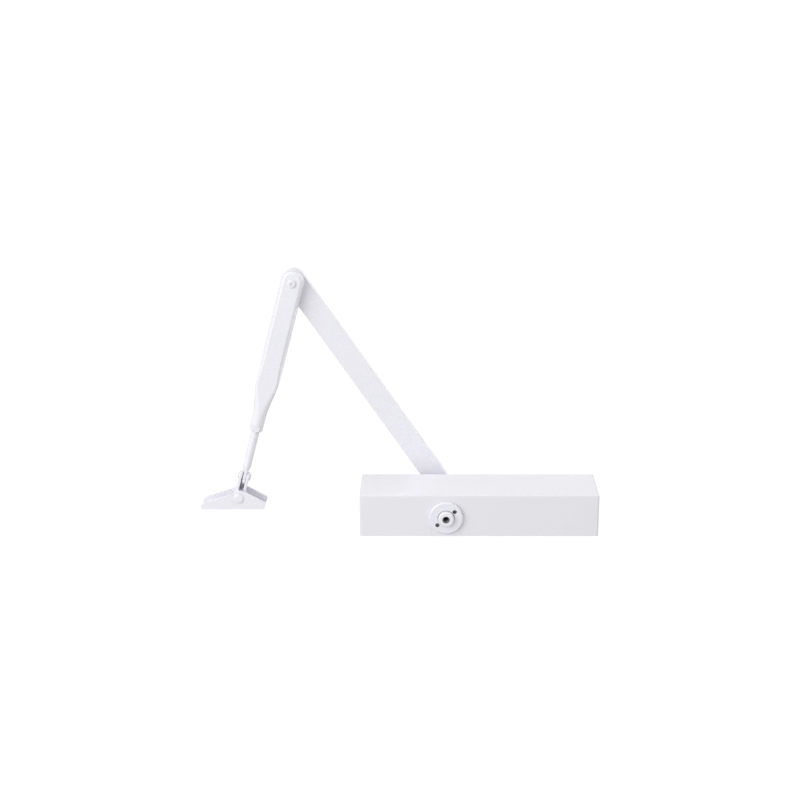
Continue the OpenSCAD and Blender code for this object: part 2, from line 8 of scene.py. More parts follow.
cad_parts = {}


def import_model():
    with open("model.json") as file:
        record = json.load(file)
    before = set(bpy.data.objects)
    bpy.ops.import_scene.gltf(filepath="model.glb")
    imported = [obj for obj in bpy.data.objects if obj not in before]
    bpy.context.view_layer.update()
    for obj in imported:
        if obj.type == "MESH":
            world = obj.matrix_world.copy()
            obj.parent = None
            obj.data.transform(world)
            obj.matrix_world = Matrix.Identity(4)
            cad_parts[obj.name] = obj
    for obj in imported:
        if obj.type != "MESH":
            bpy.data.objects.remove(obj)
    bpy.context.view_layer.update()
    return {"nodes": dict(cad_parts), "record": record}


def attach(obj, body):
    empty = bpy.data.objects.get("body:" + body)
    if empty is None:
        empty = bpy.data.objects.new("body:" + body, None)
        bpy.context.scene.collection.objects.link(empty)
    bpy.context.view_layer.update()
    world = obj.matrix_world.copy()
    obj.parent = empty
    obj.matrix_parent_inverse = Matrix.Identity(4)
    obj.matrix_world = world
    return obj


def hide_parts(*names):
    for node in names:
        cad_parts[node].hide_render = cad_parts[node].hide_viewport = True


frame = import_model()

scene = bpy.context.scene
record = frame["record"]
BODY_OF = {n: b for b, ns in record["behaviour"]["bodies"].items() for n in ns}
MM = 0.001

# the joints' own numbers, in millimetres, as the CAD has them
SX, SY = -33.3, -20.6
ARM_L, ARM_A = 273.5, math.radians(-124.2)
FORE_L, FORE_A = 237.4, math.radians(105.2)
EX, EY = SX + ARM_L * math.cos(ARM_A), SY + ARM_L * math.sin(ARM_A)
PX, PY = EX + FORE_L * math.cos(FORE_A), EY + FORE_L * math.sin(FORE_A)
ROD_Z = 36.2


# ------------------------------------------------------------------ camera
def make_camera():
    pitch, yaw, roll = math.radians(18.364), math.radians(1.222), math.radians(-0.471)
    cp, sp, cy, sy, cr, sr = (math.cos(pitch), math.sin(pitch), math.cos(yaw), math.sin(yaw),
                              math.cos(roll), math.sin(roll))
    rx = Matrix(((1, 0, 0), (0, cp, -sp), (0, sp, cp)))
    ry = Matrix(((cy, 0, sy), (0, 1, 0), (-sy, 0, cy)))
    rz = Matrix(((cr, -sr, 0), (sr, cr, 0), (0, 0, 1)))
    r = rz @ rx @ ry
    right, down, fwd = r[0], r[1], r[2]
    cam = bpy.data.cameras.new("camera")
    cam.sensor_fit, cam.sensor_width = "HORIZONTAL", 36.0
    cam.lens = 64.086
    cam.clip_start, cam.clip_end = 0.05, 150.0
    ob = bpy.data.objects.new("camera", cam)
    scene.collection.objects.link(ob)
    m = Matrix((right, -down, -fwd)).transposed().to_4x4()
    m.translation = Vector((-0.0504, -0.5833, -1.3506))
    ob.matrix_world = m
    scene.camera = ob
    return ob


make_camera()
scene.view_settings.view_transform = "Standard"
scene.view_settings.look = "None"
scene.view_settings.exposure = 0.0
scene.view_settings.gamma = 1.0


# --------------------------------------------------------------- materials
class Graph:
    """A material's node tree, with short ways to add nodes."""

    def __init__(self, name):
        self.mat = bpy.data.materials.new(name)
        self.mat.use_nodes = True
        self.tree = self.mat.node_tree
        self.n, self.l = self.tree.nodes, self.tree.links
        self.n.clear()
        self.out = self.n.new("ShaderNodeOutputMaterial")
        self.bsdf = self.n.new("ShaderNodeBsdfPrincipled")
        self.l.new(self.bsdf.outputs[0], self.out.inputs[0])
        self.coord = self.n.new("ShaderNodeTexCoord").outputs["Object"]

    def set(self, **values):
        for k, v in values.items():
            self.bsdf.inputs[k.replace("_", " ")].default_value = v

    def scaled(self, sx, sy, sz):
        m = self.n.new("ShaderNodeMapping")
        m.inputs["Scale"].default_value = (sx, sy, sz)
        self.l.new(self.coord, m.inputs["Vector"])
        return m.outputs[0]

    def noise(self, scale, detail=2.0, rough=0.5, coord=None, distortion=0.0):
        t = self.n.new("ShaderNodeTexNoise")
        t.inputs["Scale"].default_value = scale
        t.inputs["Detail"].default_value = detail
        t.inputs["Roughness"].default_value = rough
        t.inputs["Distortion"].default_value = distortion
        self.l.new(coord or self.coord, t.inputs["Vector"])
        return t.outputs["Fac"]

    def voronoi(self, scale, feature="F1", coord=None):
        t = self.n.new("ShaderNodeTexVoronoi")
        t.feature = feature
        t.inputs["Scale"].default_value = scale
        self.l.new(coord or self.coord, t.inputs["Vector"])
        return t.outputs["Distance"]

    def ramp(self, fac, lo, hi, to_lo, to_hi):
        m = self.n.new("ShaderNodeMapRange")
        m.clamp = True
        self.l.new(fac, m.inputs["Value"])
        for k, v in (("From Min", lo), ("From Max", hi), ("To Min", to_lo), ("To Max", to_hi)):
            m.inputs[k].default_value = v
        return m.outputs["Result"]

    def mix(self, fac, a, b):
        m = self.n.new("ShaderNodeMix")
        m.data_type = "RGBA"
        self.l.new(fac, m.inputs["Factor"])
        for sock, v in ((m.inputs["A"], a), (m.inputs["B"], b)):
            pass
        a_in, b_in = [s for s in m.inputs if s.type == "RGBA"]
        for sock, v in ((a_in, a), (b_in, b)):
            if isinstance(v, tuple):
                sock.default_value = (*v, 1.0)
            else:
                self.l.new(v, sock)
        return [s for s in m.outputs if s.type == "RGBA"][0]

    def math(self, op, a, b=None):
        m = self.n.new("ShaderNodeMath")
        m.operation = op
        for i, v in enumerate((a, b)):
            if v is None:
                continue
            if isinstance(v, (int, float)):
                m.inputs[i].default_value = v
            else:
                self.l.new(v, m.inputs[i])
        return m.outputs[0]

    def bump(self, height, distance, strength=1.0, after=None):
        b = self.n.new("ShaderNodeBump")
        b.inputs["Strength"].default_value = strength
        b.inputs["Distance"].default_value = distance
        self.l.new(height, b.inputs["Height"])
        if after is not None:
            self.l.new(after, b.inputs["Normal"])
        return b.outputs[0]

    def pointiness(self, lo, hi):
        g = self.n.new("ShaderNodeNewGeometry")
        return self.ramp(g.outputs["Pointiness"], lo, hi, 0.0, 1.0)

    def rounding(self):
        """1 on rounded edges, where the surface faces between two axes of the object, and 0 on flat faces."""
        sep = self.n.new("ShaderNodeSeparateXYZ")
        self.l.new(self.n.new("ShaderNodeTexCoord").outputs["Normal"], sep.inputs[0])
        x, y, z = [self.math("ABSOLUTE", s_) for s_ in sep.outputs]
        pairs = self.math("ADD", self.math("MULTIPLY", x, y), self.math("MULTIPLY", y, z))
        pairs = self.math("ADD", pairs, self.math("MULTIPLY", x, z))
        return self.ramp(pairs, 0.06, 0.34, 0.0, 1.0)

    def rolled(self):
        """1 where a surface rolls over between level and upright, and 0 on flat faces of a bar along X and Y."""
        sep = self.n.new("ShaderNodeSeparateXYZ")
        self.l.new(self.n.new("ShaderNodeTexCoord").outputs["Normal"], sep.inputs[0])
        z = self.math("ABSOLUTE", sep.outputs[2])
        flat = self.math("SQRT", self.math("MAXIMUM", self.math("SUBTRACT", 1.0, self.math("MULTIPLY", z, z)), 0.0))
        return self.ramp(self.math("MULTIPLY", z, flat), 0.08, 0.45, 0.0, 1.0)

    def colour(self, socket):
        self.l.new(socket, self.bsdf.inputs["Base Color"])

    def rough(self, socket):
        self.l.new(socket, self.bsdf.inputs["Roughness"])

    def normal(self, socket):
        self.l.new(socket, self.bsdf.inputs["Normal"])


def mat_cover():
    g = Graph("white_cover_moulding")
    g.set(IOR=1.47, Specular_IOR_Level=0.5, Metallic=0.0)
    wide, flow = g.noise(14, 3, 0.55), g.noise(60, 4, 0.6, g.scaled(0.25, 1, 1))
    base = g.mix(g.ramp(wide, 0.3, 0.7, 0, 1), (0.800, 0.796, 0.838), (0.818, 0.814, 0.854))
    base = g.mix(g.ramp(flow, 0.35, 0.75, 0, 0.35), base, (0.792, 0.789, 0.832))
    # painted shade: the rounded edges are darkened in the colour, standing in for the shade along them; the same
    # mask also roughens them
    edge = g.rounding()
    base = g.mix(g.math("MULTIPLY", edge, 0.8), base, (0.735, 0.732, 0.772))
    g.colour(base)
    fine = g.ramp(g.noise(240, 4, 0.6), 0.3, 0.7, 0.15, 0.22)
    g.rough(g.math("ADD", fine, g.math("MULTIPLY", edge, 0.16)))
    sink = g.bump(g.noise(18, 1.0, 0.4), 0.00012, 0.45)
    grain = g.bump(g.noise(2400, 1, 0.4), 0.000002, 0.35, sink)
    g.normal(grain)
    return g.mat


def mat_paint(name, lo, hi, rough=(0.20, 0.27), peel=0.0000025, scale=420):
    g = Graph(name)
    g.set(IOR=1.5, Specular_IOR_Level=0.5, Metallic=0.0, Coat_Weight=0.25, Coat_Roughness=0.12)
    mottled = g.noise(35, 4, 0.6)
    base = g.mix(g.ramp(mottled, 0.3, 0.7, 0, 1), lo, hi)
    specks = g.ramp(g.noise(1900, 2, 0.7), 0.68, 0.78, 0, 0.05)
    base = g.mix(specks, base, tuple(0.94 * v for v in lo))
    thin = g.ramp(g.math("MULTIPLY", g.rolled(), g.noise(190, 3, 0.7)), 0.25, 0.6, 0, 0.35)
    base = g.mix(thin, base, tuple(0.93 * v for v in lo))
    g.colour(base)
    g.rough(g.ramp(g.noise(300, 3, 0.6), 0.3, 0.7, *rough))
    orange = g.bump(g.noise(scale, 1.0, 0.4), peel, 0.5)
    fine = g.bump(g.noise(2600, 1.0, 0.4), 0.0000008, 0.4, orange)
    g.normal(fine)
    return g.mat


def mat_metal(name, dark, light, rough, centre=(0, 0, 0), axis=0, groove=0.00002, pitch=2600, tint=None, metal=1.0):
    """Machined metal: fine turned rings round an axis, with stains and a slight handling polish."""
    g = Graph(name)
    g.set(Metallic=metal, IOR=1.5)
    sub = g.n.new("ShaderNodeVectorMath")
    sub.operation = "SUBTRACT"
    sub.inputs[1].default_value = centre
    g.l.new(g.coord, sub.inputs[0])
    sep = g.n.new("ShaderNodeSeparateXYZ")
    g.l.new(sub.outputs[0], sep.inputs[0])
    along = sep.outputs[axis]
    a, b = [sep.outputs[i] for i in range(3) if i != axis]
    radial = g.math("SQRT", g.math("ADD", g.math("MULTIPLY", a, a), g.math("MULTIPLY", b, b)))
    ring = g.n.new("ShaderNodeCombineXYZ")
    g.l.new(g.math("ADD", along, radial), ring.inputs[0])
    g.l.new(g.math("MULTIPLY", radial, 0.12), ring.inputs[1])
    turned = g.noise(pitch, 3, 0.75, ring.outputs[0])
    stain = g.noise(90, 5, 0.65)
    base = g.mix(g.ramp(turned, 0.25, 0.75, 0, 1), dark, light)
    if tint:
        base = g.mix(g.ramp(stain, 0.5, 0.72, 0, 0.5), base, tint)
    polish = g.pointiness(0.52, 0.6)
    base = g.mix(g.math("MULTIPLY", polish, 0.45), base, tuple(min(1.0, v * 1.18) for v in light))
    g.colour(base)
    r = g.ramp(g.math("ADD", g.math("MULTIPLY", turned, 0.5), g.math("MULTIPLY", stain, 0.5)), 0.32, 0.68, *rough)
    g.rough(r)
    grooves = g.bump(turned, groove, 0.6)
    pits = g.bump(g.noise(1500, 3, 0.6), groove * 0.6, 0.35, grooves)
    g.normal(pits)
    return g.mat


def mat_rubber():
    g = Graph("black_nitrile")
    g.set(IOR=1.52, Metallic=0.0)
    g.colour(g.mix(g.ramp(g.noise(160, 4, 0.6), 0.35, 0.7, 0, 1), (0.018, 0.018, 0.019), (0.040, 0.040, 0.041)))
    g.rough(g.ramp(g.noise(500, 3, 0.6), 0.3, 0.7, 0.48, 0.72))
    g.normal(g.bump(g.noise(2200, 3, 0.6), 0.00002, 0.5))
    return g.mat


def mat_nylon():
    g = Graph("natural_nylon")
    g.set(IOR=1.53, Metallic=0.0, Subsurface_Weight=0.15, Subsurface_Scale=0.002)
    g.colour(g.mix(g.ramp(g.noise(120, 3, 0.6), 0.3, 0.7, 0, 1), (0.80, 0.80, 0.765), (0.86, 0.86, 0.83)))
    g.rough(g.ramp(g.noise(600, 3, 0.6), 0.3, 0.7, 0.34, 0.48))
    g.normal(g.bump(g.noise(1800, 2, 0.5), 0.000015, 0.4))
    return g.mat


def mat_alloy():
    """Powder-coated die casting: the coat follows a slightly uneven cast skin."""
    g = Graph("white_coated_casting")
    g.set(IOR=1.47, Specular_IOR_Level=0.5, Metallic=0.0)
    base = g.mix(g.ramp(g.noise(14, 3, 0.55), 0.3, 0.7, 0, 1), (0.798, 0.795, 0.836), (0.818, 0.815, 0.854))
    cast = g.ramp(g.voronoi(900, "SMOOTH_F1"), 0.2, 0.9, 0, 0.12)
    base = g.mix(cast, base, (0.765, 0.77, 0.80))
    g.colour(base)
    g.rough(g.ramp(g.noise(240, 4, 0.6), 0.3, 0.7, 0.17, 0.25))
    skin = g.bump(g.noise(18, 1.0, 0.4), 0.00012, 0.45)
    g.normal(g.bump(g.noise(900, 1, 0.4), 0.000004, 0.4, skin))
    return g.mat


S_AXIS = (SX * MM, SY * MM, 0)
BORE = (0, SY * MM, 0)
PAINT_LO, PAINT_HI = (0.812, 0.806, 0.862), (0.832, 0.826, 0.880)
MAT = {
    "cover": mat_cover(),
    "casting": mat_alloy(),
    "paint": mat_paint("white_powder_coat", PAINT_LO, PAINT_HI),
    "paint_flat": mat_paint("white_powder_coat_arms", PAINT_LO, PAINT_HI, (0.22, 0.30), 0.0000014, 380),
    # painted shade: this dark steel is put inside the cap spanner holes, the shaft's tapped holes and their thread,
    # standing in for the shade in them
    "hole_shade": mat_metal("hole_shade_dark_steel", (0.16, 0.16, 0.165), (0.27, 0.27, 0.275), (0.35, 0.55), S_AXIS, 2, 0.00002,
                      tint=(0.13, 0.12, 0.11), metal=0.5),
    "steel_x": mat_metal("turned_steel_bore", (0.50, 0.50, 0.51), (0.66, 0.66, 0.67), (0.22, 0.42), BORE, 0),
    "steel_z": mat_metal("ground_steel_bearing", (0.56, 0.56, 0.57), (0.70, 0.70, 0.71), (0.12, 0.26), S_AXIS, 2, 0.00001),
    "zinc": mat_metal("zinc_plated_steel", (0.60, 0.61, 0.62), (0.76, 0.77, 0.78), (0.24, 0.44), S_AXIS, 2, 0.000015,
                      tint=(0.62, 0.64, 0.70)),
    "spring": mat_metal("oiled_spring_steel", (0.060, 0.060, 0.064), (0.15, 0.15, 0.155), (0.28, 0.46), BORE, 0, 0.00002,
                        tint=(0.09, 0.07, 0.05), metal=0.85),
    "brass": mat_metal("turned_brass", (0.62, 0.44, 0.17), (0.80, 0.61, 0.28), (0.20, 0.38),
                       (0, (SY - 15) * MM, 0), 0, tint=(0.55, 0.36, 0.14)),
    "rubber": mat_rubber(),
    "nylon": mat_nylon(),
}
LOOK = {
    "cover": "cover", "cover_clips": "spring", "clip_screws": "zinc", "housing": "casting",
    "end_plug_left": "steel_x", "end_plug_right": "steel_x", "end_plug_seals": "rubber",
    "bearing_cap_lower": "paint", "bearing_cap_upper": "paint", "bearing_cap_gaskets": "rubber",
    "shaft_seals": "rubber", "bearing_cups": "steel_z", "needle_cages": "steel_z", "pinion_shaft": "paint",
    "main_arm": "paint_flat", "arm_washer": "zinc", "arm_screw": "zinc", "elbow_bush": "zinc",
    "elbow_screw": "paint", "piston": "steel_x", "check_valve_retainer": "brass", "check_valve_ball": "steel_x",
    "main_spring": "spring", "spring_plate": "steel_x", "adjusting_screw": "steel_x",
    "adjusting_screw_seal": "rubber", "closing_valve": "brass", "latching_valve": "brass",
    "backcheck_valve": "brass", "valve_seals": "rubber", "gallery_plugs": "steel_x", "forearm": "paint_flat",
    "elbow_washer": "nylon", "neck_insert": "brass", "lock_nut": "paint", "adjusting_rod": "paint_flat",
    "knuckle": "paint_flat", "cross_pin": "paint", "shoe_bracket": "paint_flat", "pivot_pin": "paint",
    "pivot_washers": "nylon",
}


# ------------------------------------------------------------------ meshes
def link(bm, name, mat, smooth=34):
    me = bpy.data.meshes.new(name)
    bmesh.ops.recalc_face_normals(bm, faces=bm.faces)
    bm.to_mesh(me)
    bm.free()
    me.materials.append(MAT[mat])
    me.polygons.foreach_set("use_smooth", [True] * len(me.polygons))
    me.set_sharp_from_angle(angle=math.radians(smooth))
    me.update()
    ob = bpy.data.objects.new(name, me)
    scene.collection.objects.link(ob)
    w = ob.modifiers.new("weighted", "WEIGHTED_NORMAL")
    w.keep_sharp, w.weight = True, 60
    return ob


def stand_for(ob, node):
    """ob takes the CAD node's place and body."""
    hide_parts(node)
    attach(ob, BODY_OF[node])
    return ob


def detail(ob, like):
    """ob is a small extra piece on the same body as a CAD node."""
    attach(ob, BODY_OF[like])
    return ob


def bevel_edges(bm, edges, width, segments=2):
    if edges:
        bmesh.ops.bevel(bm, geom=edges, offset=width * MM, offset_type="OFFSET", segments=segments, profile=0.5,
                        affect="EDGES", clamp_overlap=False, loop_slide=True, material=-1)


def cad_mesh(node, flat=0.5):
    """The CAD node as clean faces: welded, and with its flat faces whole again."""
    bm = bmesh.new()
    bm.from_mesh(frame["nodes"][node].data)
    bmesh.ops.remove_doubles(bm, verts=bm.verts, dist=3e-6)
    bmesh.ops.dissolve_limit(bm, angle_limit=math.radians(flat), use_dissolve_boundaries=False,
                             verts=bm.verts, edges=bm.edges)
    for f in bm.faces:
        f.smooth = True
    return bm


def sharp(bm, limit, keep=None):
    found = []
    for e in bm.edges:
        if len(e.link_faces) == 2 and e.calc_face_angle() > math.radians(limit):
            if keep is None or keep((e.verts[0].co + e.verts[1].co) / 2 / MM, e):
                found.append(e)
    return found


def refine(node, name, width=0.25, segments=2, limit=32, keep=None):
    bm = cad_mesh(node)
    bevel_edges(bm, sharp(bm, limit, keep), width, segments)
    return stand_for(link(bm, name, LOOK[node]), node)


REFINE = {
    # node: (piece, edge radius in mm, segments)
    "cover": ("cover_shell", 0.25, 2), "cover_clips": ("cover_spring_clips", 0.12, 2),
    "clip_screws": ("clip_screw_heads", 0.12, 2), "housing": ("body_casting", 0.3, 2),
    "end_plug_left": ("end_plug_l", 0.2, 2), "end_plug_right": ("end_plug_r", 0.2, 2),
    "end_plug_seals": ("plug_o_rings", 0.0, 1),
    "bearing_cap_lower": ("bearing_cap_low", 0.22, 3), "bearing_cap_upper": ("bearing_cap_up", 0.22, 3),
    "bearing_cap_gaskets": ("cap_gaskets", 0.08, 1), "shaft_seals": ("lip_seals", 0.1, 2),
    "bearing_cups": ("needle_cups", 0.12, 2), "needle_cages": ("needle_rows", 0.1, 1),
    "pinion_shaft": ("pinion_and_shaft", 0.15, 2), "arm_washer": ("arm_plain_washer", 0.25, 3), "arm_screw": ("arm_socket_screw", 0.22, 2),
    "elbow_bush": ("elbow_flanged_bush", 0.2, 2), "elbow_screw": ("elbow_pan_screw", 0.14, 2),
    "piston": ("rack_piston", 0.2, 2), "check_valve_retainer": ("check_retainer", 0.1, 2),
    "check_valve_ball": ("check_ball_bearing", 0.0, 1), "main_spring": ("closing_spring", 0.0, 1),
    "spring_plate": ("spring_seat", 0.25, 2), "adjusting_screw": ("tension_screw", 0.2, 2),
    "adjusting_screw_seal": ("tension_screw_ring", 0.1, 2),
    "closing_valve": ("closing_needle", 0.1, 2), "latching_valve": ("latching_needle", 0.1, 2),
    "backcheck_valve": ("backcheck_needle", 0.1, 2), "valve_seals": ("needle_rings", 0.05, 1),
    "gallery_plugs": ("gallery_plug_set", 0.12, 2), "elbow_washer": ("elbow_spacer", 0.08, 1), "neck_insert": ("neck_threaded_insert", 0.1, 2),
    "lock_nut": ("rod_lock_nut", 0.25, 3), "adjusting_rod": ("forearm_rod", 0.35, 3),
    "knuckle": ("shoe_knuckle", 0.6, 4), "cross_pin": ("knuckle_cross_pin", 0.25, 3),
    "pivot_pin": ("shoe_pivot_pin", 0.35, 3), "pivot_washers": ("shoe_pivot_washers", 0.1, 2),
    "shoe_bracket": ("shoe_channel", 0.35, 3),
}
def off_slot(p, e):
    """Not an edge of the 30 mm slot round the shaft, whose lug lies flush in it."""
    return not (abs(p.x - SX) < 15.6 and p.y > SY - 15.6 and abs(p.z) > 27.5)


def paint_hole_shade(ob, centres, r, mat):
    """Painted shade inside holes along Z: faces within r of a centre take the material mat, here a dark steel that
    stands in for the shade in the hole.
    """
    ob.data.materials.append(MAT[mat])
    for f in ob.data.polygons:
        for cx, cy, z0, z1 in centres:
            c = f.center / MM
            if math.hypot(c.x - cx, c.y - cy) < r and z0 < c.z < z1:
                f.material_index = 1


KEEP = {"cover": off_slot, "housing": off_slot}
PIECE = {}
for node, (piece, width, segments) in REFINE.items():
    PIECE[node] = refine(node, piece, width, segments, 32, KEEP.get(node))
# painted shade: the spanner holes of both bearing caps and the shaft's tapped holes take the dark steel, as the
# shade inside them
spanner = math.radians(-39.7)
for node, sign in (("bearing_cap_lower", -1), ("bearing_cap_upper", 1)):
    spots = []
    for k in (1, -1):
        hx, hy = 11.2 * k * math.cos(spanner), 11.2 * k * math.sin(spanner)
        z = sorted((sign * 30.2, sign * 33.1))
        spots.append((SX + hx, SY + hy, z[0], z[1]))
    paint_hole_shade(PIECE[node], spots, 2.3, "hole_shade")
paint_hole_shade(PIECE["pinion_shaft"], [(SX, SY, -37.38, -17.0), (SX, SY, 30.0, 49.0)], 3.6, "hole_shade")


# ------------------------------------------------------- hand-built pieces
def place(bm, origin, angle):
    """From a link's own millimetres to the row frame."""
    m = Matrix.Translation(Vector(origin) * MM) @ Matrix.Rotation(angle, 4, "Z") @ Matrix.Scale(MM, 4)
    bm.transform(m)


def arc(cx, cy, r, a0, a1, n):
    return [(cx + r * math.cos(math.radians(a0 + (a1 - a0) * i / n)),
             cy + r * math.sin(math.radians(a0 + (a1 - a0) * i / n))) for i in range(n + 1)]


def inset(loop, d):
    """A closed outline moved inwards by d along its corner bisectors; the loop runs anticlockwise."""
    out, n = [], len(loop)
    for i, p in enumerate(loop):
        a, b = Vector(loop[i - 1]), Vector(loop[(i + 1) % n])
        p = Vector(p)
        e0, e1 = (p - a).normalized(), (b - p).normalized()
        n0, n1 = Vector((-e0.y, e0.x)), Vector((-e1.y, e1.x))
        m = (n0 + n1).normalized()
        out.append(tuple(p + m * (d / max(0.5, m.dot(n0)))))
    return out


def ring(bm, pts, z):
    return [bm.verts.new((x, y, z)) for x, y in pts]


def stitch(bm, a, b):
    n = len(a)
    for i in range(n):
        bm.faces.new((a[i], a[(i + 1) % n], b[(i + 1) % n], b[i]))


def cap_with_holes(bm, rings):
    """Fills the flat space between an outer ring and the holes in it."""
    edges = []
    for r in rings:
        for i in range(len(r)):
            edges.append(bm.edges.get((r[i], r[(i + 1) % len(r)])) or bm.edges.new((r[i], r[(i + 1) % len(r)])))
    bmesh.ops.triangle_fill(bm, use_beauty=True, use_dissolve=False, edges=edges)


def plate(bm, outline, z0, z1, r, holes=(), rh=0.25, n=4, far=0.3):
    """A flat bar with rolled edges of radius r below and far above, and holes with a small edge break."""
    low, high = [], []
    first = ring(bm, inset(outline, r), z0)
    low.append(first)
    last = first
    for k in range(1, n + 1):
        t = math.radians(90 * k / n)
        nxt = ring(bm, inset(outline, r * (1 - math.sin(t))), z0 + r * (1 - math.cos(t)))
        stitch(bm, last, nxt)
        last = nxt
    for k in range(n + 1):
        t = math.radians(90 * k / n)
        nxt = ring(bm, inset(outline, far * (1 - math.cos(t))), z1 - far * (1 - math.sin(t)))
        stitch(bm, last, nxt)
        last = nxt
    high.append(last)
    for hole in holes:
        grow = inset(hole, -rh)
        a, b = ring(bm, grow, z0), ring(bm, hole, z0 + rh)
        c, d = ring(bm, hole, z1 - rh), ring(bm, grow, z1)
        stitch(bm, b, a), stitch(bm, c, b), stitch(bm, d, c)
        low.append(a)
        high.append(d)
    cap_with_holes(bm, low)
    cap_with_holes(bm, high)


def turn(bm, profile, segs=64, axis="Z", offset=(0, 0, 0)):
    """Turns a closed profile of (along, radius) points round an axis through offset."""
    rings = []
    for along, rad in profile:
        r = []
        for i in range(segs):
            a = 2 * math.pi * i / segs
            c, s_ = rad * math.cos(a), rad * math.sin(a)
            v = {"Z": (c, s_, along), "X": (along, c, s_), "Y": (c, along, s_)}[axis]
            r.append(bm.verts.new([v[k] + offset[k] for k in range(3)]))
        rings.append(r)
    for i in range(len(rings)):
        stitch(bm, rings[i], rings[(i + 1) % len(rings)])


def main_arm():
    bm = bmesh.new()
    tilt = math.atan(1.2 / ARM_L)
    length = math.hypot(ARM_L, 1.2)
    w, boss = 11.6, 14.0
    a = math.degrees(math.asin(w / boss))
    outline = [p for p in arc(0, 0, boss, a, 360 - a, 56)]
    steps = 10
    x0 = boss * math.cos(math.radians(a))
    outline += [(x0 + (length - x0) * i / steps, -w) for i in range(1, steps)]
    outline += arc(length, 0, w, -90, 90, 36)
    outline += [(length - (length - x0) * i / steps, w) for i in range(1, steps)]
    rot = Matrix.Rotation(tilt, 2)
    outline = [tuple(rot @ Vector(p)) for p in outline]
    square = [(-5.55, -5.55), (5.55, -5.55), (5.55, 5.55), (-5.55, 5.55)]
    plate(bm, outline, 42.0, 50.0, 0.4, (square, arc(ARM_L, 0, 6.0, 0, 360, 48)[:-1]))
    # hub under the bar, round the squared shaft end
    turn(bm, [(42.4, 7.9), (42.4, 13), (38.3, 13), (37.93, 12.9), (37.7, 12.67), (37.6, 12.3), (37.6, 8.3), (38.0, 7.9)], 72)
    place(bm, (SX, SY, 0), ARM_A)
    return link(bm, "arm_bar", "paint_flat", 40)


def smooth(t):
    t = min(1.0, max(0.0, t))
    return t * t * (3 - 2 * t)


def fore_half(x):
    """Half width of the forearm channel at x along it, with softened shoulders."""
    k = (7.05 - 12.1) / (141 - 108.7)
    def corner(x, at, h, gain):
        if x < at - h:
            return 0.0
        if x > at + h:
            return gain * (x - at)
        return gain * (x - at + h) ** 2 / (4 * h)
    return 12.1 + corner(x, 108.7, 6.0, k) + corner(x, 141.0, 5.0, -k)


def forearm():
    bm = bmesh.new()
    tip = arc(0, 0, 12.1, 180, 90, 22)
    xs = [6 + 7 * i for i in range(14)] + [99 + 3 * i for i in range(16)] + [146.0]
    left = tip + [(x, fore_half(x)) for x in xs if x > 1]
    n = len(left)

    def normals():
        out = []
        for i, (x, y) in enumerate(left):
            if i == 0:
                out.append((1.0, 0.0))
                continue
            if i == n - 1:
                out.append((0.0, -1.0))
                continue
            a, b = Vector(left[i - 1]), Vector(left[i + 1])
            t = (b - a).normalized()
            out.append((t.y, -t.x))
        return out
    inward = normals()

    def rim(x):
        return 41.3 - 4.2 * smooth((x - 131) / 14)

    def web(x):
        return 30.0 - 0.85 * smooth((x - 108) / 33)

    def corner_r(x):
        return 2.6 + 4.1 * smooth((x - 104) / 38)

    def flare(x):
        return (2.0 - 1.8 * smooth(-x / 12)) * (1 - smooth((x - 82) / 38))

    def loop(d, zf, inner=False):
        half = []
        for (x, y), (nx, ny) in zip(left, inward):
            dd = d(x) if callable(d) else d
            px, py_ = x + nx * dd, y + ny * dd
            z = zf(x)
            if inner and px > 122:
                px = 122 + (px - 122) * (134.5 - (dd - 2.2) - 122) / (146 - 122)
                py_ = fore_half(px) - dd if py_ > 0 else py_
                z = zf(px)
            half.append((px, py_, z))
        pts = half + [(x, -y, z) for x, y, z in reversed(half[1:])]
        return [bm.verts.new(p) for p in pts]

    loops = []
    # inner floor out to the rim, then down the outside to the web
    loops.append(loop(5.2, lambda x: web(x) + 1.8, True))
    for t in (30, 60, 90):
        c, s_ = math.cos(math.radians(t)), math.sin(math.radians(t))
        loops.append(loop(5.2 - 1.2 * s_, lambda x, c=c: web(x) + 1.8 + 1.2 * (1 - c), True))
    for t in (0, 45, 90):
        c, s_ = math.cos(math.radians(t)), math.sin(math.radians(t))
        loops.append(loop(2.2 - 0.2 * (1 - c), lambda x, s_=s_: rim(x) - 0.2 + 0.2 * s_, True))
    for t in (90, 45, 0):
        c, s_ = math.cos(math.radians(t)), math.sin(math.radians(t))
        loops.append(loop(0.2 * (1 - c), lambda x, s_=s_: rim(x) - 0.2 + 0.2 * s_))
    steps = 8
    for k in range(steps + 1):
        t = math.radians(90 * k / steps)
        loops.append(loop(lambda x, t=t: flare(x) + corner_r(x) * (1 - math.cos(t)),
                          lambda x, t=t: web(x) + corner_r(x) * (1 - math.sin(t))))
    for a, b in zip(loops, loops[1:]):
        stitch(bm, a, b)

    def strips(loop_):
        m = len(loop_)
        bm.faces.new((loop_[0], loop_[1], loop_[m - 1]))
        for i in range(1, n - 1):
            bm.faces.new((loop_[i], loop_[i + 1], loop_[m - i - 1], loop_[m - i]))
    strips(loops[0])
    strips(loops[-1])
    # round neck that holds the rod
    turn(bm, [(137.0, 5.6), (137.0, 7.0), (140, 7.05), (155.3, 7.05), (155.75, 6.9), (156.0, 6.5), (156.0, 5.75), (155.75, 5.5), (150, 5.5)],
         64, "X", (0, 0, ROD_Z))
    place(bm, (EX, EY, 0), FORE_A)
    return link(bm, "forearm_channel", "paint_flat", 50)


